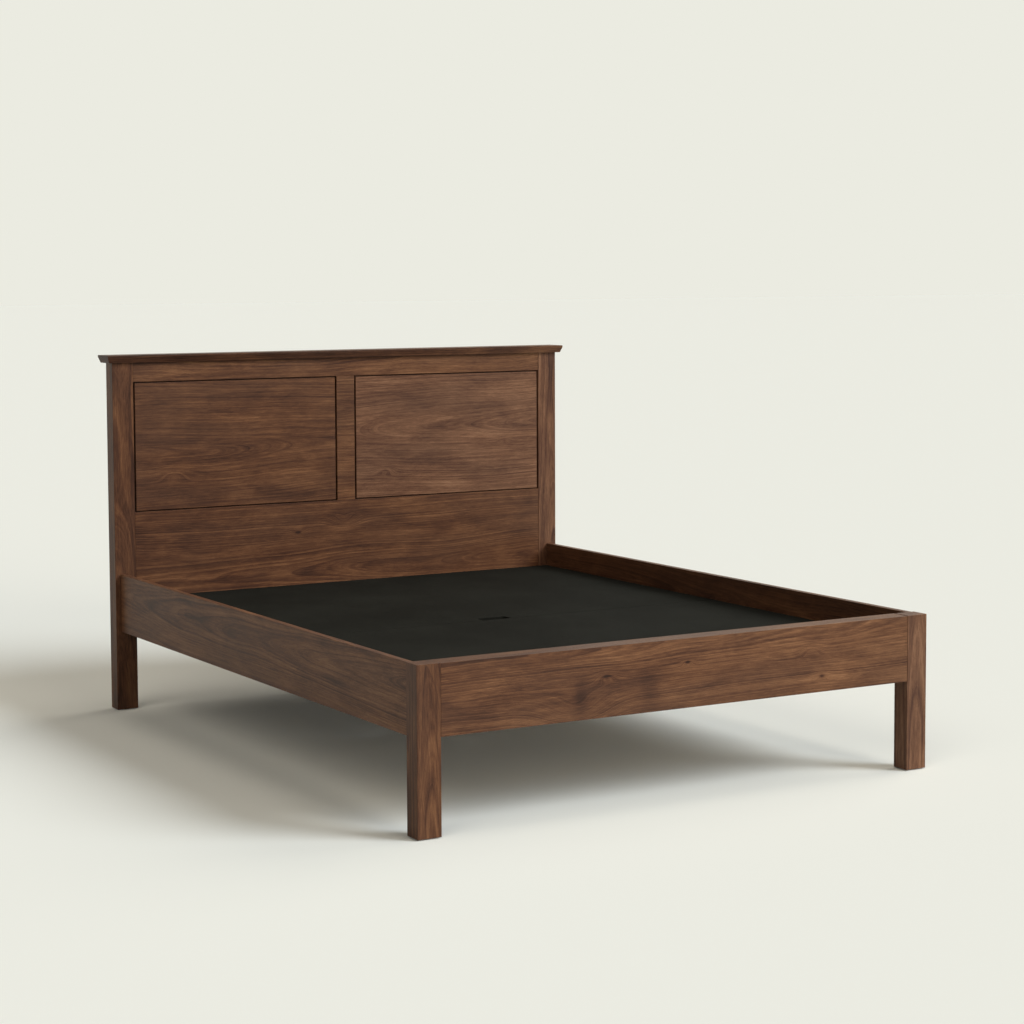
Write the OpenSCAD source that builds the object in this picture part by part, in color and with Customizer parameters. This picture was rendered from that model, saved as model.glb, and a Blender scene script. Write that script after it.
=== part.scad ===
// Panelled wooden bed frame with a headboard under a bevelled cap, a low footboard
// and two lift-out deck boards that sit in a well between the rails.
// Millimetres. The origin is on the floor under the middle of the frame.
// +Z is up, +Y runs from the foot to the head, and +X is to the right seen from the foot.

/* [Mattress] */
// Width of the mattress that lies in the frame
mattress_w = 1600; // [900:10:2000]
// Length of the mattress
mattress_l = 2000; // [1900:10:2200]
// Room beside the mattress on each side
mattress_side_gap = 12; // [3:1:20]
// Room for bedding at each end of the mattress
mattress_end_gap = 8; // [5:1:25]
// Depth of the mattress well, from the rail tops down to the deck
well_depth = 79; // [60:1:100]

/* [Footboard] */
// Width of a foot leg, across the bed
leg_w = 70; // [60:1:90]
// Depth of a foot leg, along the bed
leg_d = 58; // [50:1:75]
// Height of the leg tops above the floor
leg_height = 454; // [430:1:520]
// Height of the footboard rail
foot_rail_h = 191; // [150:1:205]
// Thickness of the footboard rail
foot_rail_t = 63; // [40:1:75]
// Setback of the footboard rail from the front faces of its legs
foot_rail_reveal = 1; // [0.5:0.5:4]
// How far the rail tops lie below the leg tops
rail_drop = 1; // [0.5:0.5:5]

/* [Side rails] */
// Thickness of a side rail
side_rail_t = 20; // [20:1:30]
// Height of a side rail
side_rail_h = 191; // [180:1:205]
// Setback of the side rail from the outer face of the foot leg
leg_side_reveal = 4; // [1:0.5:8]

/* [Headboard] */
// Width of a headboard post, across the bed
post_w = 72; // [68:1:90]
// Depth of a headboard post, along the bed
post_d = 56; // [50:1:75]
// How far a post stands out beyond the outer face of the side rail
post_outset = 18; // [8:1:24]
// Height of the post tops above the floor, under the cap
post_height = 1151; // [1050:1:1300]
// Thickness of the headboard rails and stile
head_rail_t = 30; // [26:1:36]
// Setback of the headboard rails from the front faces of the posts
head_reveal = 1; // [0.5:0.5:4]
// Height of the top rail
top_rail_h = 64; // [55:1:100]
// Height of the openings that hold the panels
panel_open_h = 431; // [300:1:480]
// Width of the centre stile
stile_w = 68; // [60:1:100]

/* [Panels] */
// Shadow gap between a panel's raised field and the post or stile beside it
panel_gap_side = 6; // [3:0.5:10]
// Shadow gap between the raised field and the rails above and below it
panel_gap_end = 4; // [2:0.5:8]
// Thickness of the raised field in front of the tongue
panel_field_t = 10; // [6:1:12]
// Thickness of the tongue round a panel
tongue_t = 8; // [6:1:10]
// How far the tongue reaches into its grooves
tongue_reach = 10; // [6:1:12]
// Room for the tongue to swell at the bottom of its groove
groove_play = 1; // [0.5:0.5:2]
// Setback of the raised field from the face of the rails
panel_reveal = 0.5; // [0:0.5:2]

/* [Cap] */
// Height of the cap
cap_h = 25; // [22:1:40]
// Height of the upright lip along the cap's upper edge
cap_lip = 6; // [2:0.5:8]
// How far the bevel under the lip runs in
cap_bevel = 7; // [4:0.5:13]
// Overhang of the cap in front of the posts
cap_over_front = 18; // [16:1:40]
// Overhang of the cap beyond the side of each post
cap_over_side = 21; // [15:1:40]
// Overhang of the cap behind the posts
cap_over_back = 17; // [16:1:40]
// Diameter of the dowels that hold the cap
dowel_d = 10; // [8:1:12]
// How far the dowels reach into the cap
dowel_in_cap = 14; // [10:1:16]
// How far the dowels reach into the posts and the top rail
dowel_in_frame = 22; // [16:1:26]

/* [Deck] */
// Thickness of a cloth-covered deck board
deck_t = 18; // [15:1:22]
// Gap between the deck and the frame round it
deck_gap = 3; // [2:0.5:6]
// Gap between the two deck boards
seam_gap = 2; // [1:0.5:4]
// Distance of that gap from the middle of the deck, towards the head
seam_off = -46; // [-150:1:150]
// Width of the finger notch in the edge of the head board
notch_w = 101; // [80:1:160]
// Depth of the finger notch
notch_d = 40; // [30:1:55]
// Corner radius of the finger notch
notch_r = 10; // [5:1:14]
// Distance of the notch from the middle of the bed, to the right
notch_off = -8; // [-60:1:60]
// Width of a stiffening batten under the deck
batten_w = 70; // [40:1:90]
// Thickness of a batten
batten_t = 22; // [18:1:26]
// Battens under each deck board
batten_count = 3; // [2:1:5]
// Gap between the ends of the battens and the ledgers
batten_side_gap = 5; // [2:1:15]
// Distance of the outermost battens from the ends of the frame
batten_end_inset = 40; // [10:5:120]
// Distance of the innermost battens from the end of the notch
batten_notch_gap = 15; // [5:1:40]

/* [Deck support] */
// Width of the ledger strips on the side rails
ledger_w = 28; // [22:1:34]
// Height of the ledger strips
ledger_h = 40; // [30:1:50]
// Screws in each ledger
ledger_screw_count = 8; // [4:1:12]
// Distance of the outermost ledger screws from the leg and the post
ledger_screw_inset = 60; // [45:5:150]
// Width of the centre beam
beam_w = 45; // [40:1:60]
// Height of the centre beam
beam_h = 62; // [50:1:70]

/* [Centre leg] */
// Distance of the centre leg from the front of the foot legs
centre_leg_from_foot = 1300; // [1150:10:1500]
// Outer diameter of the leg's tube
tube_d = 38; // [32:1:40]
// Wall of the tube
tube_wall = 1.5; // [1:0.25:2.5]
// Length of the flange plate along the beam
flange_l = 90; // [80:1:110]
// Thickness of the flange plate
flange_t = 3; // [2:0.5:4]
// Setback of the flange plate from the sides of the beam
flange_inset = 1; // [0:0.5:3]
// Distance of the flange's screws from its long sides
flange_screw_side = 6; // [5:0.5:8]
// Distance of the flange's screws from its ends
flange_screw_end = 9; // [7:0.5:12]
// Height of the rim of the plug under the tube
plug_rim_h = 4; // [2:0.5:6]
// How far the plug reaches into the tube
plug_h = 26; // [20:1:40]
// Diameter of the levelling foot's stem
stem_d = 10; // [8:1:12]
// Diameter of the levelling foot's pad
pad_d = 46; // [40:1:60]
// Height of the pad
pad_h = 7; // [5:0.5:10]
// Chamfer round the top of the pad
pad_cut = 2; // [1:0.5:3]
// Room between the pad and the plug, for levelling
level_room = 9; // [5:1:20]

/* [Steel fittings] */
// Length of the hook plates and slot plates
plate_l = 150; // [146:1:160]
// Width of the plates
plate_w = 16; // [14:1:17]
// Thickness of the plates
plate_t = 2.5; // [2:0.5:3]
// Distance between the two hooks on a plate
hook_pitch = 70; // [66:1:72]
// Height of a hook's neck
hook_neck_h = 16; // [14:1:17]
// How far a hook's nose drops behind its slot plate
hook_drop = 8; // [5:1:9]
// Thickness of a hook's nose
hook_nose_t = 6; // [4:0.5:7]
// Play above a hook in its slot
slot_play = 1; // [0.5:0.5:3]
// Room beside a hook in its pocket
pocket_side_room = 2.5; // [1:0.5:4]
// Room above, below and behind a hook in its pocket
pocket_room = 2; // [1:0.5:4]
// Distance of the outermost plate screws from the plate's ends
plate_screw_inset = 8; // [7:0.5:10]
// Thickness of the sheet in the beam hangers
hanger_t = 2; // [1.5:0.5:3]
// Length of the hanger's seat along the beam
hanger_seat_l = 45; // [35:1:60]
// Height of the hanger's cheeks
hanger_cheek_h = 40; // [34:1:48]
// Width of the hanger's screw flanges
hanger_flange_w = 22; // [18:1:28]
// Distance of the hanger's screws from the ends of its flanges
hanger_screw_rise = 12; // [8:1:14]
// Shank diameter of the countersunk screws
screw_d = 4; // [3.5:0.5:4.5]
// Head diameter of the countersunk screws
screw_head_d = 8; // [7:0.5:9]
// Length of the screws in the plates and ledgers
screw_l = 38; // [34:1:42]
// Length of the short screws in the hangers and the centre leg
short_screw_l = 20; // [16:1:25]

/* [Joinery] */
// Length of the tenons on the rails
tenon_l = 28; // [20:1:30]
// Thickness of the tenons on the headboard rails
tenon_t = 10; // [8:1:12]
// Thickness of the tenons on the footboard rail
foot_tenon_t = 16; // [12:1:20]
// Length of the tenons on the centre stile
stile_tenon_l = 25; // [15:1:30]
// Wood between a panel groove and the nearest tenon
groove_wood = 2; // [1:0.5:4]
// Shoulder above and below the footboard rail's tenons
foot_shoulder = 12; // [8:1:15]
// Wood left between two tenons of a row
tenon_spacing = 30; // [20:1:40]
// Width of the small chamfer that eases every edge
edge_ease = 1; // [0.5:0.25:1.5]

/* [Glides] */
// Height of the glides under the legs and posts
glide_h = 3; // [2:0.5:6]
// Diameter of a glide
glide_d = 32; // [24:1:40]
// Diameter of the glide's spigot
glide_spigot_d = 6; // [5:0.5:8]
// Length of the spigot
glide_spigot_l = 16; // [10:1:24]

/* [Clearances] */
// Gap round a fitted piece, such as a tenon, dowel, screw or hook
fit_gap = 0.2; // [0.1:0.05:0.3]
// Gap under a piece that only rests on another
rest_gap = 0.3; // [0.2:0.1:0.5]

/* [Hidden] */
$fn = 48;

// How far a cut runs past a face, and a welded or glued part into its neighbour
past = 1;

walnut = [0.40, 0.26, 0.18];
beech = [0.76, 0.62, 0.44];
black_cloth = [0.11, 0.11, 0.10];
zinc = [0.66, 0.67, 0.69];
black_plastic = [0.08, 0.08, 0.08];
black_steel = [0.14, 0.14, 0.15];

// Places across the bed, for the right-hand side
rail_in_x = mattress_w / 2 + mattress_side_gap;
rail_out_x = rail_in_x + side_rail_t;
rail_mid_x = (rail_in_x + rail_out_x) / 2;
leg_out_x = rail_out_x + leg_side_reveal;
leg_in_x = leg_out_x - leg_w;
leg_mid_x = (leg_in_x + leg_out_x) / 2;
post_out_x = rail_out_x + post_outset;
post_in_x = post_out_x - post_w;
post_mid_x = (post_in_x + post_out_x) / 2;
cap_x = post_out_x + cap_over_side;
ledger_in_x = rail_in_x - ledger_w;

// Places along the bed
clear_l = mattress_l + 2 * mattress_end_gap;
foot_end_l = max(leg_d, foot_rail_reveal + foot_rail_t);
whole_l = foot_end_l + clear_l - head_reveal + post_d + cap_over_back;
foot_y = -whole_l / 2;
leg_back_y = foot_y + leg_d;
leg_mid_y = foot_y + leg_d / 2;
foot_rail_front_y = foot_y + foot_rail_reveal;
foot_rail_back_y = foot_rail_front_y + foot_rail_t;
foot_tenon_y = (foot_rail_front_y + min(leg_back_y, foot_rail_back_y)) / 2;
well_foot_y = foot_y + foot_end_l;
head_face_y = well_foot_y + clear_l;
head_back_y = head_face_y + head_rail_t;
head_mid_y = (head_face_y + head_back_y) / 2;
post_front_y = head_face_y - head_reveal;
post_back_y = post_front_y + post_d;
post_mid_y = (post_front_y + post_back_y) / 2;
deck_foot_y = well_foot_y + deck_gap;
deck_head_y = post_front_y - deck_gap;
seam_y = (deck_foot_y + deck_head_y) / 2 + seam_off;
centre_leg_y = foot_y + centre_leg_from_foot;

// Heights
rail_top_z = leg_height - rail_drop;
side_rail_low_z = rail_top_z - side_rail_h;
foot_rail_low_z = rail_top_z - foot_rail_h;
rail_mid_z = rail_top_z - side_rail_h / 2;
deck_top_z = rail_top_z - well_depth;
deck_low_z = deck_top_z - deck_t;
ledger_top_z = deck_low_z - rest_gap;
batten_low_z = deck_low_z - batten_t;
beam_top_z = batten_low_z - rest_gap;
beam_low_z = beam_top_z - beam_h;
top_rail_low_z = post_height - top_rail_h;
lower_rail_top_z = top_rail_low_z - panel_open_h;
cap_top_z = post_height + cap_h;

// Grooves and tongues of the headboard panels
groove_front_y = head_face_y + panel_reveal + panel_field_t;
groove_back_y = groove_front_y + tongue_t;
groove_depth = tongue_reach + groove_play;
head_shoulder = groove_depth + groove_wood;
stile_tenon_x = stile_w / 2 - groove_depth - groove_wood / 2;

// Rows of tenons
top_rail_tenons = 1;
lower_rail_tenons = 3;
foot_rail_tenons = 2;

// Slots and pockets of the rail joints
slot_h = hook_neck_h + hook_drop + slot_play;
hook_t = plate_t;
nose_front_y = plate_t + fit_gap;
nose_back_y = nose_front_y + hook_nose_t;
nose_cut = hook_nose_t / 2;
pocket_w = hook_t + 2 * pocket_side_room;

// Screws
screw_head_h = (screw_head_d - screw_d) / 2;
screw_point_l = screw_d;

// Centre leg
flange_w = beam_w - 2 * flange_inset;
flange_screw_x = flange_w / 2 - flange_screw_side;
flange_screw_y = flange_l / 2 - flange_screw_end;
flange_low_z = beam_low_z - flange_t;
tube_bore = tube_d - 2 * tube_wall;
plug_low_z = pad_h + level_room;
tube_low_z = plug_low_z + plug_rim_h;
plug_top_z = tube_low_z + plug_h;

// Plain block between two opposite corners
module block(lo, hi) {
    translate(lo) cube(hi - lo);
}

// Rectangle with its corners cut at 45 degrees
module eased_rect(a, b) {
    e = edge_ease;
    polygon([[e, 0], [a - e, 0], [a, e], [a, b - e], [a - e, b], [e, b], [0, b - e], [0, e]]);
}

// Planed board between two opposite corners, with all of its edges eased
module board(lo, hi) {
    s = hi - lo;
    translate(lo)
        intersection() {
            linear_extrude(s.z) eased_rect(s.x, s.y);
            translate([0, s.y, 0]) rotate([90, 0, 0]) linear_extrude(s.y) eased_rect(s.x, s.z);
            rotate([90, 0, 90]) linear_extrude(s.x) eased_rect(s.y, s.z);
        }
}

// A shape and its mirror image on the other side of the bed
module both_sides() {
    children();
    mirror([1, 0, 0]) children();
}

// Turns a shape that points along +Z to point along v, with its start at p
module aim(p, v) {
    translate(p) rotate([0, acos(v.z), atan2(v.y, v.x)]) children();
}

// Countersunk wood screw along +Z, with the flat of its head at z = 0
module screw(l) {
    r = screw_d / 2;
    rotate_extrude()
        polygon([[0, 0], [screw_head_d / 2, 0], [r, screw_head_h], [r, l - screw_point_l], [0, l]]);
}

// The hole that a screw fills, open above its head
module screw_hole(l) {
    r = screw_d / 2 + fit_gap;
    rh = screw_head_d / 2 + fit_gap;
    rotate_extrude()
        polygon([
            [0, -past], [rh, -past], [rh, 0],
            [r, screw_head_h], [r, l - screw_point_l + fit_gap], [0, l + fit_gap]
        ]);
}

// A row of n tenons on the +X face at x, between two heights; grow widens them into mortises
module tenon_row(x, y, t, low, high, n, shoulder, grow = 0) {
    room = high - low - 2 * shoulder - (n - 1) * tenon_spacing;
    h = room / n;
    for (i = [0 : n - 1]) {
        z = low + shoulder + i * (h + tenon_spacing);
        block([x - past, y - t / 2 - grow, z - grow],
            [x + tenon_l + grow, y + t / 2 + grow, z + h + grow]);
    }
}

// Places of the four rail joints; inside, +Y points into the leg or post
module at_rail_joints(right, left) {
    sides = concat(right ? [1] : [], left ? [-1] : []);
    for (s = sides) {
        translate([s * rail_mid_x, post_front_y, rail_mid_z]) children();
        translate([s * rail_mid_x, leg_back_y, rail_mid_z]) mirror([0, 1, 0]) children();
    }
}

// Lower edges of the two slots in a plate
function slot_lows() = [for (s = [-1, 1]) s * hook_pitch / 2 - slot_h / 2];

// Heights of the three screws in a plate
function plate_screw_heights() =
    [plate_screw_inset - plate_l / 2, -hook_drop / 2, plate_l / 2 - plate_screw_inset];

// One hook: a neck through the slot, and a nose that drops behind the plate
module hook(low) {
    rest = low + fit_gap;
    top = rest + hook_neck_h;
    nose = rest - hook_drop;
    rotate([90, 0, 90])
        translate([0, 0, -hook_t / 2])
            linear_extrude(hook_t)
                polygon([
                    [-plate_t / 2, rest], [nose_front_y, rest], [nose_front_y, nose],
                    [nose_back_y - nose_cut, nose], [nose_back_y, nose + nose_cut],
                    [nose_back_y, top - nose_cut], [nose_back_y - nose_cut, top], [-plate_t / 2, top]
                ]);
}

// Plate with two hooks, let into the end of a side rail
module hook_plate() {
    difference() {
        block([-plate_w / 2, -plate_t, -plate_l / 2], [plate_w / 2, 0, plate_l / 2]);
        for (z = plate_screw_heights()) aim([0, -fit_gap, z], [0, -1, 0]) screw_hole(screw_l);
    }
    for (z = slot_lows()) hook(z);
}

// Slotted plate, let into the face of a post or leg
module slot_plate() {
    half_slot = hook_t / 2 + fit_gap;
    difference() {
        block([-plate_w / 2, 0, -plate_l / 2], [plate_w / 2, plate_t, plate_l / 2]);
        for (z = slot_lows()) block([-half_slot, -past, z], [half_slot, plate_t + past, z + slot_h]);
        for (z = plate_screw_heights()) aim([0, fit_gap, z], [0, 1, 0]) screw_hole(screw_l);
    }
}

// What is cut from a post or leg for a slotted plate: recess, hook pockets and screw holes
module slot_plate_cut() {
    w = plate_w / 2 + fit_gap;
    l = plate_l / 2 + fit_gap;
    block([-w, -past, -l], [w, plate_t, l]);
    for (z = slot_lows())
        block([-pocket_w / 2, plate_t - past, z - hook_drop - pocket_room],
            [pocket_w / 2, nose_back_y + pocket_room, z + slot_h + pocket_room]);
    for (z = plate_screw_heights()) aim([0, fit_gap, z], [0, 1, 0]) screw_hole(screw_l);
}

// What is cut from the end of a side rail for its hook plate
module hook_plate_cut() {
    w = plate_w / 2 + fit_gap;
    l = plate_l / 2 + fit_gap;
    block([-w, -plate_t, -l], [w, past, l]);
    for (z = plate_screw_heights()) aim([0, -fit_gap, z], [0, -1, 0]) screw_hole(screw_l);
}

// The top rail's tenons on the right-hand side, or their mortises
module top_rail_tenon_set(grow = 0) {
    tenon_row(post_in_x, head_mid_y, tenon_t, top_rail_low_z, post_height,
        top_rail_tenons, head_shoulder, grow);
}

// The lower rail's tenons on the right-hand side, or their mortises
module lower_rail_tenon_set(grow = 0) {
    tenon_row(post_in_x, head_mid_y, tenon_t, side_rail_low_z, lower_rail_top_z,
        lower_rail_tenons, head_shoulder, grow);
}

// The footboard rail's tenons on the right-hand side, or their mortises
module foot_rail_tenon_set(grow = 0) {
    tenon_row(leg_in_x, foot_tenon_y, foot_tenon_t, foot_rail_low_z, rail_top_z,
        foot_rail_tenons, foot_shoulder, grow);
}

// The hole for a glide's spigot, in the end of a leg or post
module glide_hole(x, y) {
    translate([x, y, glide_h - past])
        cylinder(d = glide_spigot_d + 2 * fit_gap, h = glide_spigot_l + fit_gap + past);
}

// A headboard post, right-hand side
module post() {
    difference() {
        board([post_in_x, post_front_y, glide_h], [post_out_x, post_back_y, post_height]);
        top_rail_tenon_set(fit_gap);
        lower_rail_tenon_set(fit_gap);
        block([post_in_x - past, groove_front_y - fit_gap, lower_rail_top_z - tongue_reach - fit_gap],
            [post_in_x + groove_depth, groove_back_y + fit_gap,
                top_rail_low_z + tongue_reach + fit_gap]);
        at_rail_joints(true, false) slot_plate_cut();
        translate([post_mid_x, post_mid_y, post_height - dowel_in_frame - fit_gap])
            cylinder(d = dowel_d + 2 * fit_gap, h = dowel_in_frame + fit_gap + past);
        glide_hole(post_mid_x, post_mid_y);
    }
}

// A foot leg, right-hand side
module foot_leg() {
    difference() {
        board([leg_in_x, foot_y, glide_h], [leg_out_x, leg_back_y, leg_height]);
        foot_rail_tenon_set(fit_gap);
        at_rail_joints(true, false) slot_plate_cut();
        glide_hole(leg_mid_x, leg_mid_y);
    }
}

// The cap: an upright lip along the top, and a bevel that runs in beneath it on all
// four sides. A section along the bed and one across it are each swept over the whole
// cap, and where the two meet at a corner they leave a true mitre.
module cap_body() {
    z0 = post_height;
    z1 = cap_top_z - cap_lip;
    front = post_front_y - cap_over_front;
    back = post_back_y + cap_over_back;
    b = cap_bevel;
    e = edge_ease;
    intersection() {
        translate([-cap_x, 0, 0]) rotate([90, 0, 90]) linear_extrude(2 * cap_x)
            polygon([
                [front + b, z0], [back - b, z0], [back, z1], [back, cap_top_z - e],
                [back - e, cap_top_z], [front + e, cap_top_z], [front, cap_top_z - e], [front, z1]
            ]);
        translate([0, back, 0]) rotate([90, 0, 0]) linear_extrude(back - front)
            polygon([
                [b - cap_x, z0], [cap_x - b, z0], [cap_x, z1], [cap_x, cap_top_z - e],
                [cap_x - e, cap_top_z], [e - cap_x, cap_top_z], [-cap_x, cap_top_z - e], [-cap_x, z1]
            ]);
    }
}

// Places of the cap's dowels: one in each post and three along the top rail
function dowel_places() = [
    [-post_mid_x, post_mid_y], [post_mid_x, post_mid_y],
    [-post_in_x / 2, head_mid_y], [0, head_mid_y], [post_in_x / 2, head_mid_y]
];

module headboard_post_left() {
    color(walnut) mirror([1, 0, 0]) post();
}

module headboard_post_right() {
    color(walnut) post();
}

module headboard_cap() {
    color(walnut)
        difference() {
            cap_body();
            for (p = dowel_places())
                translate([p.x, p.y, post_height - past])
                    cylinder(d = dowel_d + 2 * fit_gap, h = dowel_in_cap + fit_gap + past);
        }
}

module cap_dowels() {
    color(beech)
        for (p = dowel_places())
            translate([p.x, p.y, post_height - dowel_in_frame])
                cylinder(d = dowel_d, h = dowel_in_frame + dowel_in_cap);
}

// The stile's core, which ends in a tenon in each rail; grow widens it into mortises
module stile_tenon_block(grow = 0) {
    block([-stile_tenon_x - grow, groove_front_y - grow, lower_rail_top_z - stile_tenon_l - grow],
        [stile_tenon_x + grow, groove_back_y + grow, top_rail_low_z + stile_tenon_l + grow]);
}

// The top rail, grooved below for the panels and mortised for the stile
module headboard_top_rail() {
    color(walnut)
        difference() {
            union() {
                board([-post_in_x, head_face_y, top_rail_low_z],
                    [post_in_x, head_back_y, post_height]);
                both_sides() top_rail_tenon_set();
            }
            block([-post_in_x - past, groove_front_y - fit_gap, top_rail_low_z - past],
                [post_in_x + past, groove_back_y + fit_gap, top_rail_low_z + groove_depth]);
            stile_tenon_block(fit_gap);
            for (p = dowel_places())
                translate([p.x, p.y, post_height - dowel_in_frame - fit_gap])
                    cylinder(d = dowel_d + 2 * fit_gap, h = dowel_in_frame + fit_gap + past);
        }
}

// The wide lower rail, grooved above for the panels; the mattress hides its lower half
module headboard_lower_rail() {
    color(walnut)
        difference() {
            union() {
                board([-post_in_x, head_face_y, side_rail_low_z],
                    [post_in_x, head_back_y, lower_rail_top_z]);
                both_sides() lower_rail_tenon_set();
            }
            block([-post_in_x - past, groove_front_y - fit_gap, lower_rail_top_z - groove_depth],
                [post_in_x + past, groove_back_y + fit_gap, lower_rail_top_z + past]);
            stile_tenon_block(fit_gap);
            hanger_screw_holes(head_face_y, 1);
        }
}

// The stile between the two panels, with a tenon at each end and a groove on each side
module headboard_centre_stile() {
    color(walnut)
        difference() {
            union() {
                board([-stile_w / 2, head_face_y, lower_rail_top_z],
                    [stile_w / 2, head_back_y, top_rail_low_z]);
                stile_tenon_block();
            }
            both_sides()
                block([stile_w / 2 - groove_depth, groove_front_y - fit_gap, lower_rail_top_z - past],
                    [stile_w / 2 + past, groove_back_y + fit_gap, top_rail_low_z + past]);
        }
}

// A floating panel: a raised field, and a tongue all round it that lies deep in the
// grooves and forms the floor of the shadow gap. Right-hand side.
module panel() {
    x0 = stile_w / 2;
    x1 = post_in_x;
    z0 = lower_rail_top_z;
    z1 = top_rail_low_z;
    face_y = head_face_y + panel_reveal;
    board([x0 + panel_gap_side, face_y, z0 + panel_gap_end],
        [x1 - panel_gap_side, groove_front_y + edge_ease + past, z1 - panel_gap_end]);
    block([x0 - tongue_reach, groove_front_y, z0 - tongue_reach],
        [x1 + tongue_reach, groove_back_y, z1 + tongue_reach]);
}

module headboard_panel_left() {
    color(walnut) mirror([1, 0, 0]) panel();
}

module headboard_panel_right() {
    color(walnut) panel();
}

module foot_leg_left() {
    color(walnut) mirror([1, 0, 0]) foot_leg();
}

module foot_leg_right() {
    color(walnut) foot_leg();
}

module footboard_rail() {
    color(walnut)
        difference() {
            union() {
                board([-leg_in_x, foot_rail_front_y, foot_rail_low_z],
                    [leg_in_x, foot_rail_back_y, rail_top_z]);
                both_sides() foot_rail_tenon_set();
            }
            hanger_screw_holes(foot_rail_back_y, -1);
        }
}

// Places of the screws along a ledger
function ledger_screw_ys() =
    let (a = leg_back_y + ledger_screw_inset, b = post_front_y - ledger_screw_inset)
    [for (i = [0 : ledger_screw_count - 1]) a + (b - a) * i / (ledger_screw_count - 1)];

// The ledger's screws or their holes, right-hand side
module ledger_screw_row(hole) {
    for (y = ledger_screw_ys())
        aim([ledger_in_x + fit_gap, y, ledger_top_z - ledger_h / 2], [1, 0, 0])
            if (hole) screw_hole(screw_l);
            else screw(screw_l);
}

// A side rail between leg and post, with a hook plate let into each end. Right-hand side.
module side_rail() {
    difference() {
        board([rail_in_x, leg_back_y, side_rail_low_z], [rail_out_x, post_front_y, rail_top_z]);
        at_rail_joints(true, false) hook_plate_cut();
        ledger_screw_row(true);
    }
}

module side_rail_left() {
    color(walnut) mirror([1, 0, 0]) side_rail();
}

module side_rail_right() {
    color(walnut) side_rail();
}

// The strip that carries the edge of the deck. Right-hand side.
module ledger() {
    difference() {
        board([ledger_in_x, leg_back_y + deck_gap, ledger_top_z - ledger_h],
            [rail_in_x, post_front_y - deck_gap, ledger_top_z]);
        ledger_screw_row(true);
    }
}

module ledger_left() {
    color(beech) mirror([1, 0, 0]) ledger();
}

module ledger_right() {
    color(beech) ledger();
}

module ledger_screws() {
    color(zinc) both_sides() ledger_screw_row(false);
}

module rail_hook_plates() {
    color(zinc) at_rail_joints(true, true) hook_plate();
}

module hook_plate_screws() {
    color(zinc)
        at_rail_joints(true, true)
            for (z = plate_screw_heights()) aim([0, -fit_gap, z], [0, -1, 0]) screw(screw_l);
}

module post_slot_plates() {
    color(zinc) at_rail_joints(true, true) slot_plate();
}

module slot_plate_screws() {
    color(zinc)
        at_rail_joints(true, true)
            for (z = plate_screw_heights()) aim([0, fit_gap, z], [0, 1, 0]) screw(screw_l);
}

// Half the clear width of a hanger, and the middle of its screw flange
hanger_in_x = beam_w / 2 + fit_gap;
hanger_screw_x = hanger_in_x + hanger_flange_w / 2 + hanger_t / 2;

// Places of a hanger's screws, across and up
function hanger_screw_places() = [
    for (s = [-1, 1], z = [hanger_screw_rise, hanger_cheek_h - hanger_screw_rise])
        [s * hanger_screw_x, beam_low_z + z]
];

// A beam hanger folded from sheet on the face at y, opening towards the bed's middle;
// into is the direction into the wood
module hanger(y, into) {
    far = y - into * hanger_seat_l;
    near = y - into * hanger_t;
    module across(x0, x1, a, b, z0, z1) {
        block([x0, min(a, b), z0], [x1, max(a, b), z1]);
    }
    low = beam_low_z - hanger_t;
    high = beam_low_z + hanger_cheek_h;
    difference() {
        union() {
            across(-hanger_in_x - hanger_t, hanger_in_x + hanger_t, y, far, low, beam_low_z);
            both_sides() {
                across(hanger_in_x, hanger_in_x + hanger_t, y, far, low, high);
                across(hanger_in_x, hanger_in_x + hanger_flange_w, y, near, low, high);
            }
        }
        hanger_screw_holes(y, into);
    }
}

// Holes through a hanger's flanges into the wood behind
module hanger_screw_holes(y, into) {
    for (p = hanger_screw_places())
        aim([p.x, y - into * (hanger_t - fit_gap), p.y], [0, into, 0]) screw_hole(short_screw_l);
}

module centre_beam() {
    color(beech)
        difference() {
            board([-beam_w / 2, foot_rail_back_y + rest_gap, beam_low_z],
                [beam_w / 2, head_face_y - rest_gap, beam_top_z]);
            centre_leg_screw_set(true);
        }
}

module beam_hanger_foot() {
    color(zinc) hanger(foot_rail_back_y, -1);
}

module beam_hanger_head() {
    color(zinc) hanger(head_face_y, 1);
}

module hanger_screws() {
    color(zinc)
        for (end = [[foot_rail_back_y, -1], [head_face_y, 1]], p = hanger_screw_places())
            aim([p.x, end[0] - end[1] * (hanger_t - fit_gap), p.y], [0, end[1], 0])
                screw(short_screw_l);
}

// The centre leg's screws or their holes, from below into the beam
module centre_leg_screw_set(hole) {
    for (sx = [-1, 1], sy = [-1, 1]) {
        head = [sx * flange_screw_x, centre_leg_y + sy * flange_screw_y, flange_low_z + fit_gap];
        aim(head, [0, 0, 1])
            if (hole) screw_hole(short_screw_l);
            else screw(short_screw_l);
    }
}

// Flange plate with a tube welded under it
module centre_leg() {
    color(black_steel)
        difference() {
            union() {
                block([-flange_w / 2, centre_leg_y - flange_l / 2, flange_low_z],
                    [flange_w / 2, centre_leg_y + flange_l / 2, beam_low_z]);
                translate([0, centre_leg_y, tube_low_z])
                    cylinder(d = tube_d, h = flange_low_z - tube_low_z + past);
            }
            translate([0, centre_leg_y, tube_low_z - past])
                cylinder(d = tube_bore, h = flange_low_z - tube_low_z + past);
            centre_leg_screw_set(true);
        }
}

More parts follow.
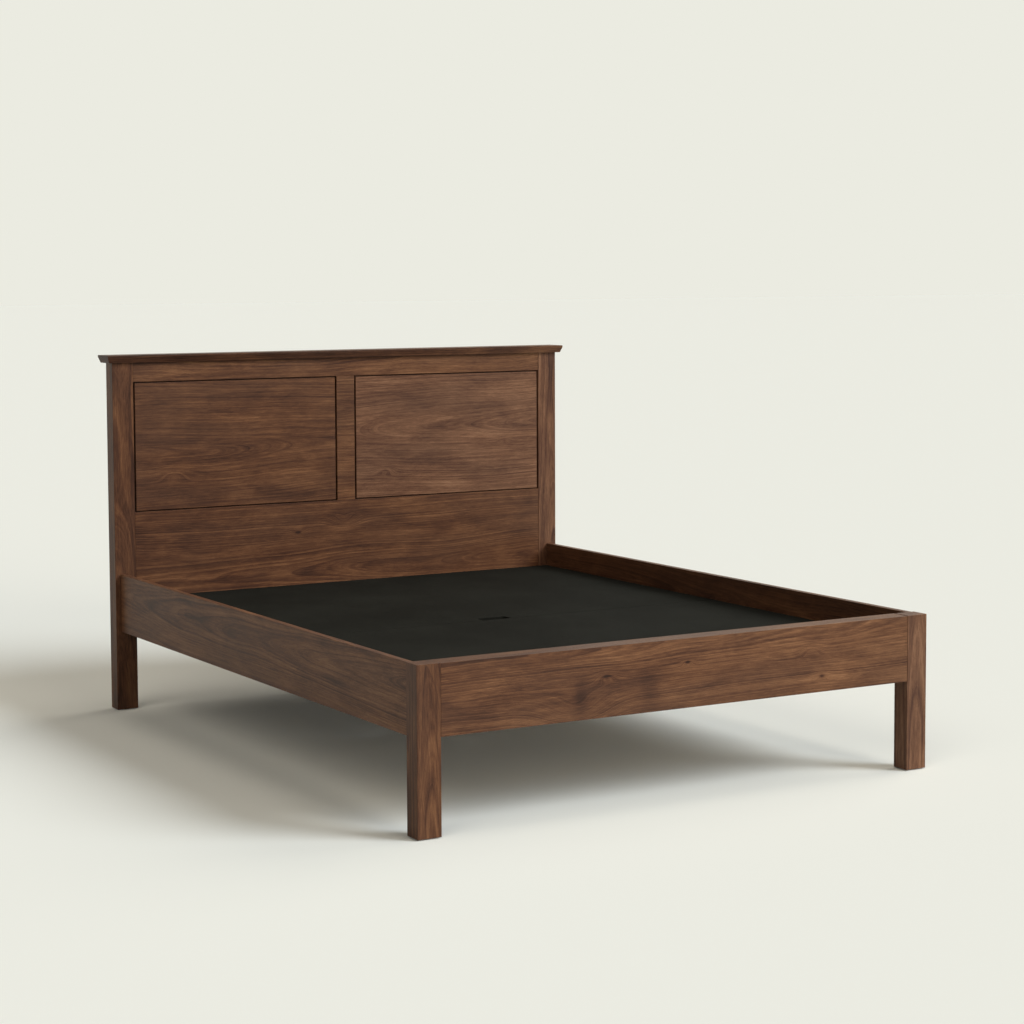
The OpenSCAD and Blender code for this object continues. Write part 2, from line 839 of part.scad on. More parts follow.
// Plug with a threaded bore, pushed into the lower end of the tube
module centre_leg_plug() {
    color(black_plastic)
        translate([0, centre_leg_y, 0])
            rotate_extrude()
                polygon([
                    [stem_d / 2 + fit_gap, plug_low_z], [tube_d / 2, plug_low_z],
                    [tube_d / 2, tube_low_z], [tube_bore / 2 - fit_gap, tube_low_z],
                    [tube_bore / 2 - fit_gap, plug_top_z], [stem_d / 2 + fit_gap, plug_top_z]
                ]);
}

// Levelling foot: a round pad on a threaded stem
module centre_leg_foot() {
    r = pad_d / 2;
    color(black_plastic)
        translate([0, centre_leg_y, 0])
            rotate_extrude()
                polygon([
                    [0, 0], [r, 0], [r, pad_h - pad_cut], [r - pad_cut, pad_h],
                    [stem_d / 2, pad_h], [stem_d / 2, plug_top_z], [0, plug_top_z]
                ]);
}

module centre_leg_screws() {
    color(zinc) centre_leg_screw_set(false);
}

// Outline of the finger notch, with round inner corners, open towards the seam
module notch_outline() {
    half = notch_w / 2;
    difference() {
        translate([-half, -past]) square([notch_w, notch_d + past]);
        for (s = [-1, 1])
            difference() {
                translate([s * (half - notch_r / 2), notch_d - notch_r / 2]) square(notch_r, center = true);
                translate([s * (half - notch_r), notch_d - notch_r]) circle(notch_r);
            }
    }
}

// The cloth-covered board over the foot half of the bed
module deck_board_foot() {
    x = rail_in_x - deck_gap;
    color(black_cloth)
        board([-x, deck_foot_y, deck_low_z], [x, seam_y - seam_gap / 2, deck_top_z]);
}

// The board over the head half, with the finger notch in its edge at the seam
module deck_board_head() {
    x = rail_in_x - deck_gap;
    edge = seam_y + seam_gap / 2;
    color(black_cloth)
        difference() {
            board([-x, edge, deck_low_z], [x, deck_head_y, deck_top_z]);
            translate([notch_off, edge, deck_low_z - past])
                linear_extrude(deck_t + 2 * past) notch_outline();
        }
}

// Battens under one half of the deck, spread from the frame's end to the seam
module battens(end_y, edge_y) {
    x = ledger_in_x - batten_side_gap;
    dir = sign(edge_y - end_y);
    first = end_y + dir * (batten_end_inset + batten_w / 2);
    last = edge_y - dir * (notch_d + batten_notch_gap + batten_w / 2);
    for (i = [0 : batten_count - 1]) {
        y = first + (last - first) * i / (batten_count - 1);
        board([-x, y - batten_w / 2, batten_low_z], [x, y + batten_w / 2, deck_low_z]);
    }
}

module deck_battens_foot() {
    color(beech) battens(deck_foot_y, seam_y);
}

module deck_battens_head() {
    color(beech) battens(deck_head_y, seam_y);
}

// A glide: a round pad with a spigot driven into the wood above
module glide() {
    cylinder(d = glide_d, h = glide_h);
    cylinder(d = glide_spigot_d, h = glide_h + glide_spigot_l);
}

module floor_glides() {
    color(black_plastic)
        both_sides() {
            translate([leg_mid_x, leg_mid_y, 0]) glide();
            translate([post_mid_x, post_mid_y, 0]) glide();
        }
}

headboard_post_left();
headboard_post_right();
headboard_cap();
headboard_top_rail();
headboard_lower_rail();
headboard_centre_stile();
headboard_panel_left();
headboard_panel_right();
cap_dowels();
foot_leg_left();
foot_leg_right();
footboard_rail();
side_rail_left();
side_rail_right();
ledger_left();
ledger_right();
ledger_screws();
rail_hook_plates();
hook_plate_screws();
post_slot_plates();
slot_plate_screws();
centre_beam();
beam_hanger_foot();
beam_hanger_head();
hanger_screws();
centre_leg();
centre_leg_plug();
centre_leg_foot();
centre_leg_screws();
deck_board_foot();
deck_board_head();
deck_battens_foot();
deck_battens_head();
floor_glides();
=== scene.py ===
import math

import bmesh
import bpy
from mathutils import Matrix, Vector

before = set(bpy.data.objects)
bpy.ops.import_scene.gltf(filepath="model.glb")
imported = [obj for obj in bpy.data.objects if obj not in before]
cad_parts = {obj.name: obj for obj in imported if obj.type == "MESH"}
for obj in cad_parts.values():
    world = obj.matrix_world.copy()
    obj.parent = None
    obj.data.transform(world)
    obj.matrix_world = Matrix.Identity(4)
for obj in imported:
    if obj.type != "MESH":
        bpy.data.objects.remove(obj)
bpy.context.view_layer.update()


# Camera
# It stands off the left corner of the foot, a little above the headboard's height, and looks
# slightly down along the bed, through a lens about twice as long as a normal one. A small
# shift keeps the posts and legs nearly upright in the picture, as they are in the photograph.

camera_place = Vector((-3.5791, -6.2315, 1.4524))
camera_turn = 0.53071
camera_tilt = -0.07830
camera_roll = -0.00379

camera_data = bpy.data.cameras.new("camera")
camera_data.sensor_width = 36.0
camera_data.lens = 81.88
camera_data.shift_y = -0.0586
camera_data.clip_end = 200.0
camera = bpy.data.objects.new("camera", camera_data)
camera.matrix_world = (
    Matrix.Translation(camera_place)
    @ Matrix.Rotation(-camera_turn, 4, "Z")
    @ Matrix.Rotation(math.pi / 2 + camera_tilt, 4, "X")
    @ Matrix.Rotation(camera_roll, 4, "Z")
)
bpy.context.collection.objects.link(camera)
bpy.context.scene.camera = camera


# Headboard posts
# Two square-edged posts of solid walnut, sawn so that the grain runs up them, planed, and
# finished with a thin satin oil. The rails and panels of the headboard are let into them.

def put(tree, socket, value):
    """Wires a socket to another one, or sets it."""
    if isinstance(value, bpy.types.NodeSocket):
        tree.links.new(value, socket)
    else:
        socket.default_value = value


def add_node(tree, kind, sockets=None, **settings):
    """A shader node with its settings made and its sockets wired or set."""
    made = tree.nodes.new(kind)
    for name, value in settings.items():
        setattr(made, name, value)
    for name, value in (sockets or {}).items():
        put(tree, made.inputs[name], value)
    return made


def start_material(name):
    """A new material with its node tree, its shader, and the X, Y and Z of each point."""
    material = bpy.data.materials.new(name)
    material.use_nodes = True
    tree = material.node_tree
    place = add_node(tree, "ShaderNodeTexCoord").outputs["Object"]
    parts = add_node(tree, "ShaderNodeSeparateXYZ", {"Vector": place}).outputs
    return material, tree, tree.nodes["Principled BSDF"], parts


def calc(tree, operation, *values):
    """One sum on numbers, such as ADD or MULTIPLY."""
    made = tree.nodes.new("ShaderNodeMath")
    made.operation = operation
    for socket, value in zip(made.inputs, values):
        put(tree, socket, value)
    return made.outputs[0]


def sway(tree, value, pattern, weight):
    """A value moved up and down by a pattern that is 0.5 on average."""
    return calc(tree, "MULTIPLY_ADD", calc(tree, "SUBTRACT", pattern, 0.5), weight, value)


def add_squares(tree, first, second):
    """The squares of two numbers, added up."""
    return calc(tree, "ADD", calc(tree, "MULTIPLY", first, first),
                calc(tree, "MULTIPLY", second, second))


def off_spot(tree, place, spot, reach):
    """How far a place lies from a spot, squared, in terms of the spot's reach each way."""
    east, north = (calc(tree, "DIVIDE", calc(tree, "SUBTRACT", at, centre), length)
                   for at, centre, length in zip(place, spot, reach))
    return add_squares(tree, east, north)


def fall_off(tree, off, steepness):
    """1 on a spot, and less and less away from it."""
    return calc(tree, "EXPONENT", calc(tree, "MULTIPLY", off, -steepness))


def stretch(tree, value, low, high, to_low=0.0, to_high=1.0):
    """Spreads the values between low and high over the range to_low to to_high."""
    sockets = {"Value": value, "From Min": low, "From Max": high,
               "To Min": to_low, "To Max": to_high}
    return add_node(tree, "ShaderNodeMapRange", sockets, clamp=True).outputs[0]


def blend_colours(tree, share, first, second):
    """The second colour laid over the first by its share."""
    made = add_node(tree, "ShaderNodeMix", data_type="RGBA")
    for place, value in ((0, share), (6, first), (7, second)):
        put(tree, made.inputs[place], value)
    return made.outputs[2]


def tones_of(tree, value, tones):
    """Turns a value into a colour by a row of (position, colour)."""
    made = add_node(tree, "ShaderNodeValToRGB", {"Fac": value})
    row = made.color_ramp.elements
    while len(row) < len(tones):
        row.new(0.5)
    for stop, (position, colour) in zip(row, tones):
        stop.position = position
        stop.color = (*colour, 1.0)
    return made.outputs["Color"]


def scaled(tree, parts, scales):
    """Three numbers, each times its own scale, as one vector."""
    made = add_node(tree, "ShaderNodeCombineXYZ")
    for socket, part, scale in zip(made.inputs, parts, scales):
        put(tree, socket, calc(tree, "MULTIPLY", part, scale))
    return made.outputs[0]


def cloud(tree, parts, scales, detail=2.0, roughness=0.5, distortion=0.0):
    """A soft random pattern in space, 0.5 on average, as fine each way as its scales say."""
    sockets = {"Vector": scaled(tree, parts, scales), "Scale": 1.0, "Detail": detail,
               "Roughness": roughness, "Distortion": distortion}
    return add_node(tree, "ShaderNodeTexNoise", sockets, noise_dimensions="3D").outputs


def grain_cloud(tree, parts, along, across, **settings):
    """Such a pattern drawn out along the grain, which is the first of the parts."""
    return cloud(tree, parts, (along, across, across), **settings)


def stripes(tree, along, detail=2.0, roughness=0.5):
    """A random row of light and dark lines along one number."""
    sockets = {"W": along, "Scale": 1.0, "Detail": detail, "Roughness": roughness}
    return add_node(tree, "ShaderNodeTexNoise", sockets, noise_dimensions="1D").outputs[0]


def press_relief(tree, shader, height, strength, depth):
    """Gives the surface fine relief from a height pattern, as deep as depth in metres."""
    relief = add_node(tree, "ShaderNodeBump",
                      {"Height": height, "Strength": strength, "Distance": depth})
    put(tree, shader.inputs["Normal"], relief.outputs[0])


walnut_tones = (
    (0.00, (0.018, 0.0078, 0.0051)),
    (0.28, (0.050, 0.0213, 0.0124)),
    (0.50, (0.093, 0.0408, 0.0206)),
    (0.72, (0.149, 0.0705, 0.0342)),
    (1.00, (0.245, 0.1270, 0.0640)),
)
walnut_grey = (0.062, 0.0358, 0.0258, 1.0)
# Painted sheen: the right post, leg and panel get greener and bluer tones, as a pale sheen from
# the right.
more_green, more_blue = 1.06, 1.24
walnut_painted_sheen_tones = tuple((at, (red, green * more_green, blue * more_blue))
                           for at, (red, green, blue) in walnut_tones)


def sawn_wood(name, grain, width, middle, heart, seed, slant=0.0, knots=(), shades=(),
              light=0.0, painted_light_slope=0.0, shade_depths=None, tones=walnut_tones, grey=walnut_grey,
              polish=0.46):
    """Solid wood, with its growth rings round a heart line that runs near the piece.

    grain and width are the axes that the grain and the piece's width run along. middle is about
    the centre of the piece, or of the face that shows, as (along, across, into the piece). heart
    is where the heart line passes it (across, behind), and slant is how fast that line runs
    deeper. seed picks the part of the tree. knots are (along, across, size, how dark) from the
    middle, and draw the rings in where the size is below zero. shades are dark patches, as
    (along, across, half length, half height, how dark). light makes the whole board paler or
    darker, as its own tone and partly as painted light, and fade makes it paler along the grain,
    as painted light. stained is the depths (from, to) behind the face between which the wood is
    painted dark, as shade deep in a recess. polish is how rough the surface is left.
    """
    material, tree, shader, parts = start_material(name)
    axes = dict(zip("XYZ", parts))
    thickness = next(axis for axis in "XYZ" if axis not in (grain, width))
    run, across, into = (calc(tree, "SUBTRACT", axes[axis], at)
                         for axis, at in zip((grain, width, thickness), middle))
    far_run = calc(tree, "ADD", run, seed)
    spot = (far_run, across, into)

    # The grain wanders slowly from side to side on its way along the piece.
    wander_width = 0.060
    wander = grain_cloud(tree, spot, along=1.3, across=4.5, roughness=0.42)["Color"]
    wander = add_node(tree, "ShaderNodeSeparateXYZ", {"Vector": wander}).outputs
    across_bent = sway(tree, across, wander[0], wander_width)
    into_bent = sway(tree, into, wander[1], wander_width)
    bent = (far_run, across_bent, into_bent)

    # Growth rings: the distance from the heart line, pushed aside round each knot.
    knot_length, ring_push, swell_edge, core_edge = 2.2, 1.5, 0.5, 7.0
    side = calc(tree, "SUBTRACT", across_bent, heart[0])
    behind = calc(tree, "SUBTRACT", into_bent, heart[1])
    behind = calc(tree, "SUBTRACT", behind, calc(tree, "MULTIPLY", run, slant))
    rings = calc(tree, "SQRT", add_squares(tree, side, behind))
    knot_dark = 0.0
    for knot_along, knot_across, knot_size, darkness in knots:
        off = off_spot(tree, (run, across), (knot_along, knot_across),
                       (knot_size * knot_length, knot_size))
        swell = fall_off(tree, off, swell_edge)
        rings = calc(tree, "MULTIPLY_ADD", swell, knot_size * ring_push, rings)
        if darkness:
            core = fall_off(tree, off, core_edge)
            knot_dark = calc(tree, "MULTIPLY_ADD", core, darkness, knot_dark)

    # Broad zones, fine lines, and growth rings with a sharp dark side, all along the rings.
    zones_a_metre, lines_a_metre, wavers_a_metre = 30.0, 210.0, 60.0
    zones_from, lines_from = seed * 7.0 + 3.0, seed * 3.0
    zones = stripes(tree, calc(tree, "MULTIPLY_ADD", rings, zones_a_metre, zones_from))
    lines = stripes(tree, calc(tree, "MULTIPLY_ADD", rings, lines_a_metre, lines_from),
                    detail=3.0, roughness=0.7)
    ring_width, ring_waver, ring_sharpness = 0.009, 3.0, 5.0
    waver = stripes(tree, calc(tree, "MULTIPLY", rings, wavers_a_metre))
    count = calc(tree, "DIVIDE", rings, ring_width)
    count = calc(tree, "MULTIPLY_ADD", waver, ring_waver, count)
    late = calc(tree, "POWER", calc(tree, "FRACT", count), ring_sharpness)
    # The rings' dark sides come and go along the piece.
    late_shown = grain_cloud(tree, spot, along=2.8, across=18.0)[0]
    late_shown = stretch(tree, late_shown, low=0.34, high=0.66, to_low=0.15)
    late = calc(tree, "MULTIPLY", late, late_shown)

    # Dark clouds, streaks and short flecks, fine fibre and open pores.
    clouds = grain_cloud(tree, spot, along=4.6, across=17.0, detail=4.0, roughness=0.58,
                         distortion=0.6)[0]
    streaks = grain_cloud(tree, bent, along=4.5, across=190.0, detail=3.0, roughness=0.6)[0]
    flecks = grain_cloud(tree, bent, along=34.0, across=520.0, roughness=0.6)[0]
    fibre = grain_cloud(tree, bent, along=26.0, across=1100.0, roughness=0.6)[0]
    pores = grain_cloud(tree, bent, along=170.0, across=2600.0, detail=1.0)[0]
    pores = stretch(tree, pores, low=0.60, high=0.70)

    # All of them together, from dark at 0 to pale at 1, with the knots, the patches and painted
    # shade.
    plain_tone, late_darkness, shade_edge, painted_shade_darkness = 0.56, 0.29, 1.0, 0.5
    # The board's tone, shifted partly as painted light, and paler along the grain as painted
    # light.
    tone = calc(tree, "MULTIPLY_ADD", run, painted_light_slope, plain_tone + light)
    for pattern, weight in ((zones, 0.32), (lines, 0.70), (clouds, 0.80), (streaks, 0.52),
                            (flecks, 0.45), (fibre, 0.60)):
        tone = sway(tree, tone, pattern, weight)
    tone = calc(tree, "MULTIPLY_ADD", late, -late_darkness, tone)
    for shade_along, shade_across, half_length, half_height, darkness in shades:
        off = off_spot(tree, (run, across_bent), (shade_along, shade_across),
                       (half_length, half_height))
        tone = calc(tree, "MULTIPLY_ADD", fall_off(tree, off, shade_edge), -darkness, tone)
    if knots:
        tone = calc(tree, "SUBTRACT", tone, knot_dark)
    # Painted shade: the wood between the given depths behind the face is made darker.
    if shade_depths:
        start, end = shade_depths
        deep = calc(tree, "COMPARE", into, (start + end) / 2, (end - start) / 2)
        tone = calc(tree, "MULTIPLY_ADD", deep, -painted_shade_darkness, tone)

    # The colour, with dull patches and dark pores over it.
    pore_brown, pore_cover = (0.018, 0.008, 0.004, 1.0), 0.5
    dull = grain_cloud(tree, spot, along=1.9, across=7.0)[0]
    dull = stretch(tree, dull, low=0.42, high=0.68, to_high=0.26)
    colour = blend_colours(tree, dull, tones_of(tree, tone, tones), grey)
    pore_share = calc(tree, "MULTIPLY", pores, pore_cover)
    put(tree, shader.inputs["Base Color"], blend_colours(tree, pore_share, colour, pore_brown))

    # A weak sheen, rougher in the pores, over fibre and pores that are left open.
    shader.inputs["Specular IOR Level"].default_value = 0.16
    sheen_change = 0.18
    sheen = sway(tree, polish, fibre, sheen_change)
    put(tree, shader.inputs["Roughness"],
        calc(tree, "MULTIPLY_ADD", pores, sheen_change, sheen))
    fibre_height, pore_height = 0.5, -0.7
    height = calc(tree, "MULTIPLY_ADD", pores, pore_height,
                  calc(tree, "MULTIPLY", fibre, fibre_height))
    press_relief(tree, shader, height, strength=0.35, depth=0.0003)
    return material


def finish_nodes(material, *names):
    """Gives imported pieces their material."""
    for name in names:
        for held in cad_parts[name].material_slots:
            held.material = material


# Painted light: the left post is made darker and the right one paler, as if lit from the right.
for side_name, side, post_seed, post_tones in (("left", -1, 3.1, walnut_tones),
                                               ("right", 1, 8.4, walnut_painted_sheen_tones)):
    finish_nodes(
        sawn_wood(f"walnut_post_{side_name}", grain="Z", width="X",
                  middle=(0.55, side * 0.814, 1.003), heart=(0.02 * side, 0.10), slant=0.02,
                  seed=post_seed, light=0.09 * side - 0.045, tones=post_tones),
        f"headboard_post_{side_name}",
    )


# Headboard rails and centre stile
# A narrow top rail, a lower rail wide enough to stand above the mattress, and a stile between
# them. They are tenoned into each other and into the posts, and their faces are flush.

# Painted light: both rails grow paler towards the right. The lower rail is also a little darker
# overall.
finish_nodes(
    sawn_wood("walnut_top_rail", grain="X", width="Z", middle=(0.0, 1.119, 1.004),
              heart=(0.05, 0.06), slant=0.012, seed=12.7, painted_light_slope=0.08),
    "headboard_top_rail",
)
finish_nodes(
    sawn_wood("walnut_lower_rail", grain="X", width="Z", middle=(0.0, 0.46, 1.004),
              heart=(-0.04, 0.05), slant=-0.03, seed=17.9, light=-0.07, painted_light_slope=0.09,
              knots=((-0.186, 0.094, 0.010, 1.0), (-0.009, 0.119, 0.02, 0.0))),
    "headboard_lower_rail",
)
finish_nodes(
    sawn_wood("walnut_centre_stile", grain="X", width="Z", middle=(0.0, 0.871, 1.004),
              heart=(0.10, 0.09), slant=0.02, seed=21.2),
    "headboard_centre_stile",
)


# Headboard panels
# Two wide walnut panels, with a tongue all round that floats in the grooves of the frame. They
# stop short of it, which leaves a narrow shadow line. The tongues are coloured dark as painted
# shade, deep in that shadow line.

# Painted shade on the tongues, between these depths behind the face.
tongue_painted_shade = (0.008, 0.017)

# Painted light: the left panel is made darker and the right one paler, and both grow paler
# towards the right.
finish_nodes(
    sawn_wood("walnut_panel_left", grain="X", width="Z", middle=(-0.406, 0.871, 1.0045),
              heart=(-0.02, 0.06), slant=0.05, seed=25.3, light=-0.07, painted_light_slope=0.10,
              shade_depths=tongue_painted_shade, knots=((-0.231, -0.093, 0.018, 0.0),)),
    "headboard_panel_left",
)
finish_nodes(
    sawn_wood("walnut_panel_right", grain="X", width="Z", middle=(0.406, 0.871, 1.0045),
              heart=(0.03, 0.05), slant=-0.06, seed=31.8, light=0.09, painted_light_slope=0.10,
              shade_depths=tongue_painted_shade, tones=walnut_painted_sheen_tones,
              knots=((-0.253, -0.119, 0.012, 0.1), (0.230, -0.033, 0.009, 0.2))),
    "headboard_panel_right",
)


# Headboard cap and its dowels
# One walnut board with a small lip and a bevel under it, which stands out all round over the
# posts and the top rail. Plain beech dowels hold it down on them.

# Painted shade and light: the cap is made much darker, as the shade its bevel lies in, and grows
# paler towards the right.
finish_nodes(
    sawn_wood("walnut_cap", grain="X", width="Y", middle=(0.0, 1.031, 1.176),
              heart=(0.01, -0.07), slant=0.01, seed=37.5, light=-0.20, painted_light_slope=0.12),
    "headboard_cap",
)
beech_tones = (
    (0.00, (0.26, 0.155, 0.085)),
    (0.35, (0.42, 0.275, 0.160)),
    (0.60, (0.53, 0.365, 0.225)),
    (1.00, (0.66, 0.490, 0.330)),
)
beech_grey = (0.45, 0.34, 0.24, 1.0)
finish_nodes(
    sawn_wood("beech_dowels", grain="Z", width="X", middle=(1.14, 0.0, 1.031),
              heart=(0.4, 0.3), seed=41.0, tones=beech_tones, grey=beech_grey, polish=0.6),
    "cap_dowels",
)


# Foot legs
# Two short square-edged legs of solid walnut, grain upright, a hair proud of the footboard.
# They are mortised for its tenons, and recessed behind for the plates that take the side rails.

# Painted light: the left leg is made darker and the right one paler, as if lit from the right.
for side_name, side, leg_seed, leg_tones in (("left", -1, 45.3, walnut_tones),
                                             ("right", 1, 52.9, walnut_painted_sheen_tones)):
    finish_nodes(
        sawn_wood(f"walnut_leg_{side_name}", grain="Z", width="X",
                  middle=(0.23, side * 0.801, -1.076), heart=(0.0, 0.045), slant=0.03,
                  seed=leg_seed, light=0.09 * side - 0.005, tones=leg_tones),
        f"foot_leg_{side_name}",
    )


# Footboard rail
# A broad plain-sawn walnut board on edge, tenoned between the legs, with the arches of its
# growth rings on the outer face and a few small knots.

# Painted light: the board grows paler towards the right.
finish_nodes(
    sawn_wood("walnut_footboard", grain="X", width="Z", middle=(0.0, 0.3575, -1.075),
              heart=(0.10, 0.05), slant=0.03, seed=58.6, light=0.01, painted_light_slope=0.09,
              knots=((-0.36, -0.08, -0.040, 0.0), (-0.263, 0.015, 0.012, 0.6),
                     (-0.002, 0.030, 0.008, 0.9), (0.456, -0.050, 0.010, 0.6),
                     (0.42, 0.026, 0.012, 0.0)),
              shades=((-0.345, -0.045, 0.022, 0.05, 0.26),
                      (-0.126, -0.040, 0.030, 0.05, 0.26))),
    "footboard_rail",
)


# Side rails
# Two long thin walnut boards on edge, grain lengthways. Each hangs between a leg and a post by
# the hook plates let into its ends, and lifts off for moving.

# Painted shade: the right rail is made darker than the left, as the shade on its inner face.
for side_name, side, rail_seed in (("left", -1, 63.4), ("right", 1, 69.7)):
    finish_nodes(
        sawn_wood(f"walnut_side_rail_{side_name}", grain="Y", width="Z",
                  middle=(0.0, 0.3575, side * 0.822), heart=(0.03, side * -0.05), slant=0.03,
                  seed=rail_seed, light=-0.04 - 0.04 * side),
        f"side_rail_{side_name}",
    )


# Ledgers, beam and battens
# Sawn pale wood under the deck, left rough and unfinished: a strip screwed along each side
# rail, a beam down the middle, and battens glued across the underside of both boards.

rough_sawn = 0.66

for side_name, side, strip_seed in (("left", -1, 74.2), ("right", 1, 78.8)):
    finish_nodes(
        sawn_wood(f"beech_ledger_{side_name}", grain="Y", width="Z",
                  middle=(0.0, 0.33, side * 0.784), heart=(0.3, side * 0.2),
                  seed=strip_seed, tones=beech_tones, grey=beech_grey, polish=rough_sawn),
        f"ledger_{side_name}",
    )
finish_nodes(
    sawn_wood("beech_beam", grain="Y", width="Z", middle=(0.0, 0.30, 0.0),
              heart=(0.1, 0.05), slant=0.01, seed=83.1, tones=beech_tones, grey=beech_grey,
              polish=rough_sawn),
    "centre_beam",
)
finish_nodes(
    sawn_wood("beech_battens", grain="X", width="Y", middle=(0.0, 0.0, 0.338),
              heart=(0.2, -0.3), seed=87.6, tones=beech_tones, grey=beech_grey,
              polish=rough_sawn),
    "deck_battens_foot", "deck_battens_head",
)


# Steel fittings
# Pressed and folded steel with a thin bright zinc coat: the hook plates in the rail ends, the
# slotted plates in the posts and legs, the beam's hangers, and every screw.

def zinc_steel():
    """Zinc plate: cool grey, with a cloudy coat and fine rolling lines."""
    material, tree, shader, parts = start_material("zinc_steel")
    coat = cloud(tree, parts, (160.0, 160.0, 160.0), detail=3.0, roughness=0.6,
                 distortion=0.8)[0]
    rolled = cloud(tree, parts, (900.0, 900.0, 60.0))[0]
    zinc_tones = ((0.30, (0.36, 0.37, 0.39)), (0.55, (0.52, 0.53, 0.55)),
                  (0.75, (0.62, 0.62, 0.61)))
    put(tree, shader.inputs["Base Color"], tones_of(tree, coat, zinc_tones))
    shader.inputs["Metallic"].default_value = 1.0
    put(tree, shader.inputs["Roughness"],
        stretch(tree, rolled, low=0.3, high=0.7, to_low=0.28, to_high=0.46))
    press_relief(tree, shader, rolled, strength=0.2, depth=0.0001)
    return material


finish_nodes(
    zinc_steel(), "rail_hook_plates", "post_slot_plates", "beam_hanger_foot",
    "beam_hanger_head", "hook_plate_screws", "slot_plate_screws", "ledger_screws",
    "hanger_screws", "centre_leg_screws",
)


# Centre leg
# A black powder-coated steel tube under a flat plate that is screwed up into the beam, with a
# plastic plug and a levelling foot at the bottom.

def black_coat(name, low, high, grain_size, rough_low, rough_high, dent):
    """A black moulded or sprayed surface, with a fine pebbled skin."""
    material, tree, shader, parts = start_material(name)
    skin = cloud(tree, parts, (grain_size,) * 3, roughness=0.6)[0]
    dusty = cloud(tree, parts, (14.0, 14.0, 14.0), detail=3.0, roughness=0.6)[0]
    put(tree, shader.inputs["Base Color"],
        tones_of(tree, dusty, ((0.35, (low,) * 3), (0.65, (high,) * 3))))
    put(tree, shader.inputs["Roughness"],
        stretch(tree, skin, low=0.3, high=0.7, to_low=rough_low, to_high=rough_high))
    press_relief(tree, shader, skin, strength=0.4, depth=dent)
    return material


finish_nodes(
    black_coat("black_steel", low=0.012, high=0.020, grain_size=1400.0, rough_low=0.42,
               rough_high=0.60, dent=0.0002),
    "centre_leg",
)
black_plastic = black_coat("black_plastic", low=0.016, high=0.026, grain_size=2200.0,
                           rough_low=0.50, rough_high=0.66, dent=0.0001)
finish_nodes(black_plastic, "centre_leg_plug", "centre_leg_foot")


# Floor glides
# Round pads of the same black plastic under the posts and legs. Each has a spigot that is
# pressed into a hole in the end grain, and a flat face that keeps the wood off the floor.

finish_nodes(black_plastic, "floor_glides")


# Deck boards
# Two stiff boards with a matt black woven cloth glued over them. They lie loose on the ledgers
# and the beam, meet a little nearer the foot than the head, and lift out by the notch.

def deck_cloth():
    """Black cloth: a fine plain weave, slightly uneven in its dye and in its yarns."""
    material, tree, shader, parts = start_material("black_deck_cloth")
    yarn = 0.0011
    turns = 2 * math.pi / yarn
    warp = calc(tree, "SINE", calc(tree, "MULTIPLY", parts[0], turns))
    weft = calc(tree, "SINE", calc(tree, "MULTIPLY", parts[1], turns))
    weave = stretch(tree, calc(tree, "MULTIPLY", warp, weft), low=-1.0, high=1.0)
    slub_long = cloud(tree, parts, (9.0, 600.0, 9.0), roughness=0.6)[0]
    slub_wide = cloud(tree, parts, (600.0, 9.0, 9.0), roughness=0.6)[0]
    tone = cloud(tree, parts, (3.0, 3.0, 3.0), detail=4.0, roughness=0.6)[0]
    for pattern, weight in ((slub_long, 0.6), (slub_wide, 0.6), (weave, 0.3)):
        tone = sway(tree, tone, pattern, weight)
    dye_tones = ((0.20, (0.0048, 0.0051, 0.0044)), (0.50, (0.0082, 0.0088, 0.0075)),
                 (0.80, (0.0125, 0.0135, 0.0117)))
    put(tree, shader.inputs["Base Color"], tones_of(tree, tone, dye_tones))
    put(tree, shader.inputs["Roughness"],
        stretch(tree, weave, low=0.0, high=1.0, to_low=0.92, to_high=0.74))
    shader.inputs["Specular IOR Level"].default_value = 0.04
    yarn_height = 0.7
    height = calc(tree, "MULTIPLY_ADD", weave, yarn_height, slub_long)
    press_relief(tree, shader, height, strength=0.5, depth=0.0002)
    return material


finish_nodes(deck_cloth(), "deck_board_foot", "deck_board_head")


# Room
# A plain pale floor without an end, under a soft key light off the right corner of the foot, four
# weaker and warmer lamps, and a faint light from all round. The camera and the gloss see the same
# pale all round.

floor_paint = (0.805, 0.869, 0.869, 1.0)
room_pale = (0.831, 0.831, 0.753, 1.0)
room_light = (1.0, 0.87, 0.72, 1.0)
room_light_strength = 0.02
floor_reach = 90.0
floor_haze = 0.05

floor_shape = bmesh.new()
bmesh.ops.create_grid(floor_shape, x_segments=1, y_segments=1, size=floor_reach)
floor_mesh = bpy.data.meshes.new("floor")
floor_shape.to_mesh(floor_mesh)
floor_shape.free()
floor = bpy.data.objects.new("floor", floor_mesh)
bpy.context.collection.objects.link(floor)
floor_material = bpy.data.materials.new("floor")
floor_material.use_nodes = True
floor_tree = floor_material.node_tree
floor_tree.nodes.remove(floor_tree.nodes["Principled BSDF"])
paint = add_node(floor_tree, "ShaderNodeBsdfDiffuse", {"Color": floor_paint})
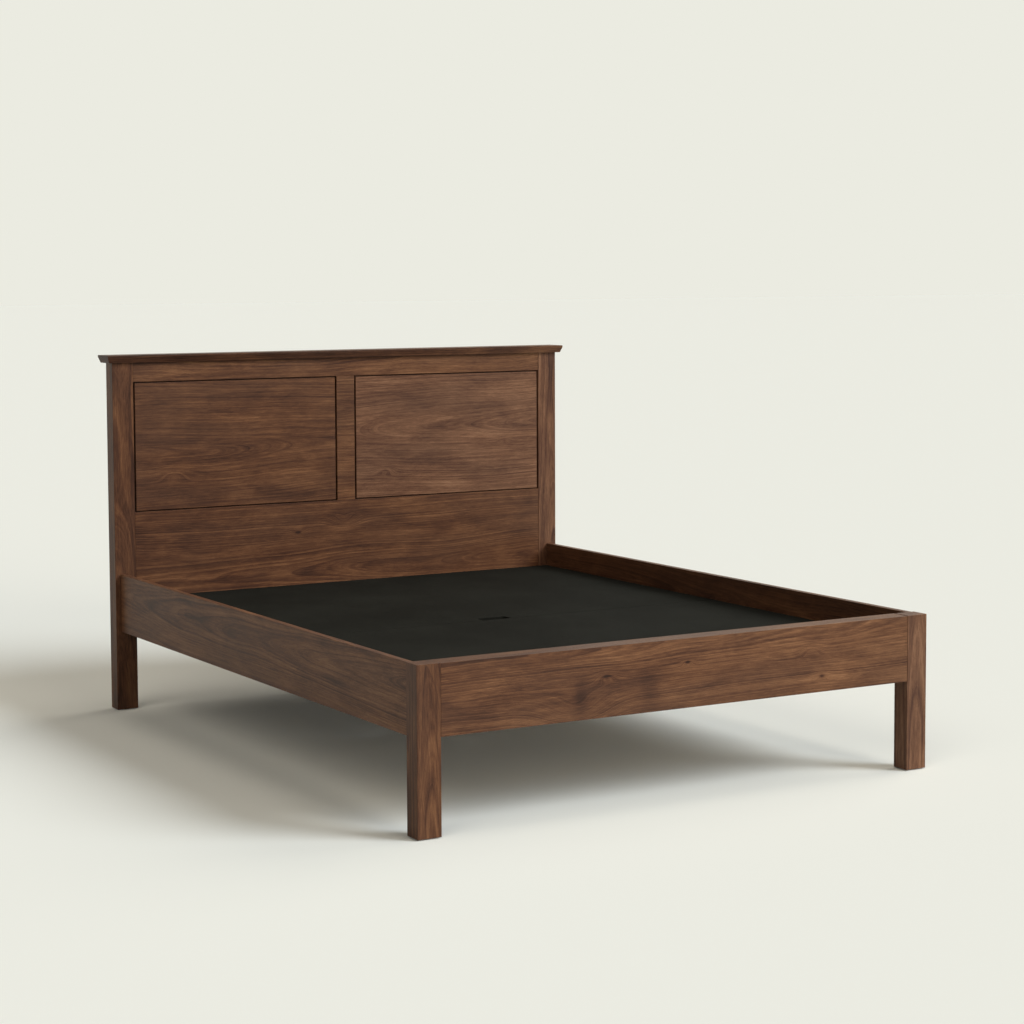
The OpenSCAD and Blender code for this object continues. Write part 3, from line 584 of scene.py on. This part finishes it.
# As the camera sees it, the floor has a little of the room's pale laid over it.
haze = add_node(floor_tree, "ShaderNodeEmission", {"Color": room_pale, "Strength": 1.0})
floor_seen = add_node(floor_tree, "ShaderNodeLightPath").outputs["Is Camera Ray"]
haze_share = calc(floor_tree, "MULTIPLY", floor_seen, floor_haze)
floor_mix = add_node(floor_tree, "ShaderNodeMixShader",
                     {0: haze_share, 1: paint.outputs[0], 2: haze.outputs[0]})
put(floor_tree, floor_tree.nodes["Material Output"].inputs["Surface"], floor_mix.outputs[0])
floor_mesh.materials.append(floor_material)

world = bpy.data.worlds.new("room")
bpy.context.scene.world = world
world.use_nodes = True
world_tree = world.node_tree
seen = add_node(world_tree, "ShaderNodeLightPath").outputs
any_seen = calc(world_tree, "MAXIMUM", seen["Is Camera Ray"], seen["Is Glossy Ray"])
any_seen = calc(world_tree, "MAXIMUM", any_seen, seen["Is Transmission Ray"])
lit = world_tree.nodes["Background"]
lit.inputs["Color"].default_value = room_light
lit.inputs["Strength"].default_value = room_light_strength
pale = add_node(world_tree, "ShaderNodeBackground", {"Color": room_pale, "Strength": 1.0})
both = add_node(world_tree, "ShaderNodeMixShader",
                {0: any_seen, 1: lit.outputs[0], 2: pale.outputs[0]})
put(world_tree, world_tree.nodes["World Output"].inputs["Surface"], both.outputs[0])

# Each lamp: the way round to it from the right of the bed, its height, how wide it looks from
# the bed (all in degrees), its strength, and how warm it is.
warm_loss = (0.0, 0.13, 0.28)
for lamp_name, around, up, spread, strength, warmth in (
    ("key_lamp", 315, 34, 28, 2.56, 0.0),
    ("front_lamp", 280, 17, 26, 1.14, 1.0),
    ("right_lamp", 8, 36, 40, 0.89, 1.0),
    ("left_lamp", 218, 42, 38, 0.82, 1.0),
    ("top_lamp", 0, 82, 20, 0.35, 1.0),
):
    lamp_data = bpy.data.lights.new(lamp_name, "SUN")
    lamp_data.energy = strength
    lamp_data.angle = math.radians(spread)
    lamp_data.color = [1.0 - loss * warmth for loss in warm_loss]
    lamp = bpy.data.objects.new(lamp_name, lamp_data)
    to_lamp = (Matrix.Rotation(math.radians(around), 3, "Z")
               @ Matrix.Rotation(math.radians(-up), 3, "Y") @ Vector((1.0, 0.0, 0.0)))
    lamp.rotation_euler = to_lamp.to_track_quat("Z", "Y").to_euler()
    # The low front lamp lights the wood and leaves no shine on it.
    lamp.visible_glossy = lamp_name != "front_lamp"
    bpy.context.collection.objects.link(lamp)

bpy.context.scene.view_settings.view_transform = "Standard"
